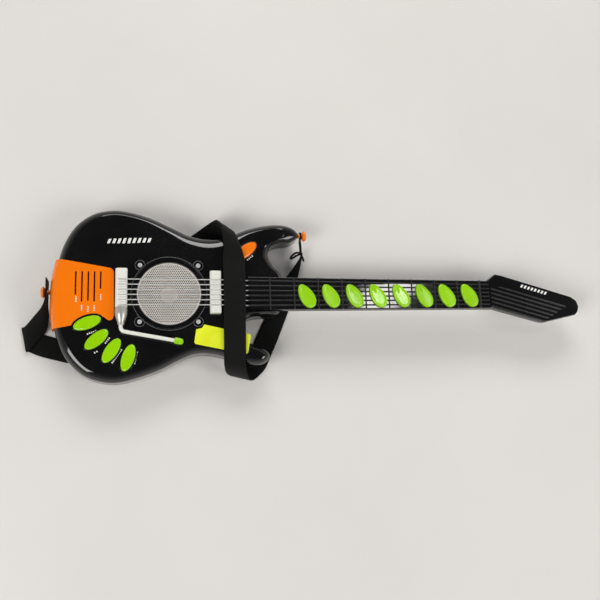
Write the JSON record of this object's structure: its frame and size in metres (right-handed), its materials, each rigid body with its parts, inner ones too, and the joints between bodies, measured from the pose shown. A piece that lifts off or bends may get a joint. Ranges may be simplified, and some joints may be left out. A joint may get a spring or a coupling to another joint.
{
  "type": "toy electric guitar",
  "caption": "Toy electric guitar with a two-shell body, speaker, fret and oval push buttons, whammy bar, neck with frets and a webbing strap.",
  "frame": {"origin": "on the plane the back rests on, under the centre of the speaker", "axes": "+X along the neck towards the headstock, +Y towards the upper horn, +Z out of the front face"},
  "size_m": [0.7758, 0.2322, 0.059],
  "materials": {
    "shell_black": "gloss",
    "orange": "gloss",
    "green": "gloss",
    "white": "satin",
    "silver_plastic": "satin",
    "grille": "satin",
    "screw": "polished",
    "string": "satin",
    "basket": "satin",
    "cone": "matte",
    "magnet": "matte",
    "rubber": "matte",
    "board": "satin",
    "battery": "satin",
    "contact": "satin",
    "webbing": "woven",
    "label": "paper",
    "neck_black": "satin"
  },
  "bodies": {
    "body": {"front_shell": "shell_black", "back_shell": "shell_black", "tail_panel": "orange", "speaker_bezel": "shell_black", "speaker_grille": "grille", "grille_screws": "screw", "speaker_basket": "basket", "speaker_cone": "cone", "speaker_magnet": "magnet", "bridge": "white", "bridge_socket": "silver_plastic", "pickup": "white", "strings": "string", "body_keypad": "rubber", "body_button_board": "board", "horn_keypad": "rubber", "horn_button_board": "board", "neck_front": "neck_black", "neck_back": "neck_black", "fret_keypad": "rubber", "fret_board_pcb": "board", "main_board": "board", "batteries": "battery", "battery_contacts": "contact", "power_switch": "contact", "case_screws": "screw", "neck_screws": "screw", "tail_peg": "orange", "horn_peg": "orange", "strap": "webbing", "strap_tie": "webbing", "paper_label": "label"},
    "style_button_1": {"style_button_1": "green"},
    "style_button_2": {"style_button_2": "green"},
    "style_button_3": {"style_button_3": "green"},
    "style_button_4": {"style_button_4": "green"},
    "horn_button": {"horn_button": "orange"},
    "fret_button_1": {"fret_button_1": "green"},
    "fret_button_2": {"fret_button_2": "green"},
    "fret_button_3": {"fret_button_3": "green"},
    "fret_button_4": {"fret_button_4": "green"},
    "fret_button_5": {"fret_button_5": "green"},
    "fret_button_6": {"fret_button_6": "green"},
    "fret_button_7": {"fret_button_7": "green"},
    "fret_button_8": {"fret_button_8": "green"},
    "whammy_arm": {"whammy_bar": "white", "whammy_tip": "green"},
    "battery_door": {"battery_door": "shell_black", "battery_screw": "screw"},
    "power_slider": {"power_slider": "shell_black"}
  },
  "joints": [
    {"name": "style_button_1_press", "type": "slide", "parent": "body", "child": "style_button_1", "axis": [0, 0, -1], "range_m": [0, 0.0015], "stiffness_N_per_m": 500, "springref_m": -0.001},
    {"name": "style_button_2_press", "type": "slide", "parent": "body", "child": "style_button_2", "axis": [0, 0, -1], "range_m": [0, 0.0015], "stiffness_N_per_m": 500, "springref_m": -0.001},
    {"name": "style_button_3_press", "type": "slide", "parent": "body", "child": "style_button_3", "axis": [0, 0, -1], "range_m": [0, 0.0015], "stiffness_N_per_m": 500, "springref_m": -0.001},
    {"name": "style_button_4_press", "type": "slide", "parent": "body", "child": "style_button_4", "axis": [0, 0, -1], "range_m": [0, 0.0015], "stiffness_N_per_m": 500, "springref_m": -0.001},
    {"name": "horn_button_press", "type": "slide", "parent": "body", "child": "horn_button", "axis": [0, 0, -1], "range_m": [0, 0.0015], "stiffness_N_per_m": 500, "springref_m": -0.001},
    {"name": "fret_button_1_press", "type": "slide", "parent": "body", "child": "fret_button_1", "axis": [0, 0, -1], "range_m": [0, 0.0015], "stiffness_N_per_m": 500, "springref_m": -0.001},
    {"name": "fret_button_2_press", "type": "slide", "parent": "body", "child": "fret_button_2", "axis": [0, 0, -1], "range_m": [0, 0.0015], "stiffness_N_per_m": 500, "springref_m": -0.001},
    {"name": "fret_button_3_press", "type": "slide", "parent": "body", "child": "fret_button_3", "axis": [0, 0, -1], "range_m": [0, 0.0015], "stiffness_N_per_m": 500, "springref_m": -0.001},
    {"name": "fret_button_4_press", "type": "slide", "parent": "body", "child": "fret_button_4", "axis": [0, 0, -1], "range_m": [0, 0.0015], "stiffness_N_per_m": 500, "springref_m": -0.001},
    {"name": "fret_button_5_press", "type": "slide", "parent": "body", "child": "fret_button_5", "axis": [0, 0, -1], "range_m": [0, 0.0015], "stiffness_N_per_m": 500, "springref_m": -0.001},
    {"name": "fret_button_6_press", "type": "slide", "parent": "body", "child": "fret_button_6", "axis": [0, 0, -1], "range_m": [0, 0.0015], "stiffness_N_per_m": 500, "springref_m": -0.001},
    {"name": "fret_button_7_press", "type": "slide", "parent": "body", "child": "fret_button_7", "axis": [0, 0, -1], "range_m": [0, 0.0015], "stiffness_N_per_m": 500, "springref_m": -0.001},
    {"name": "fret_button_8_press", "type": "slide", "parent": "body", "child": "fret_button_8", "axis": [0, 0, -1], "range_m": [0, 0.0015], "stiffness_N_per_m": 500, "springref_m": -0.001},
    {"name": "whammy_swing", "type": "hinge", "parent": "body", "child": "whammy_arm", "pos_m": [-0.0615, -0.046, 0.052], "axis": [0, -1, 0], "range_deg": [-1.5, 15], "stiffness_Nm_per_rad": 0.6},
    {"name": "battery_door_tilt", "type": "hinge", "parent": "body", "child": "battery_door", "pos_m": [0.0182, -0.002, 0], "axis": [0, 1, 0], "range_deg": [0, 75]},
    {"name": "power_slide", "type": "slide", "parent": "body", "child": "power_slider", "axis": [1, 0, 0], "range_m": [0, 0.007]}
  ]
}
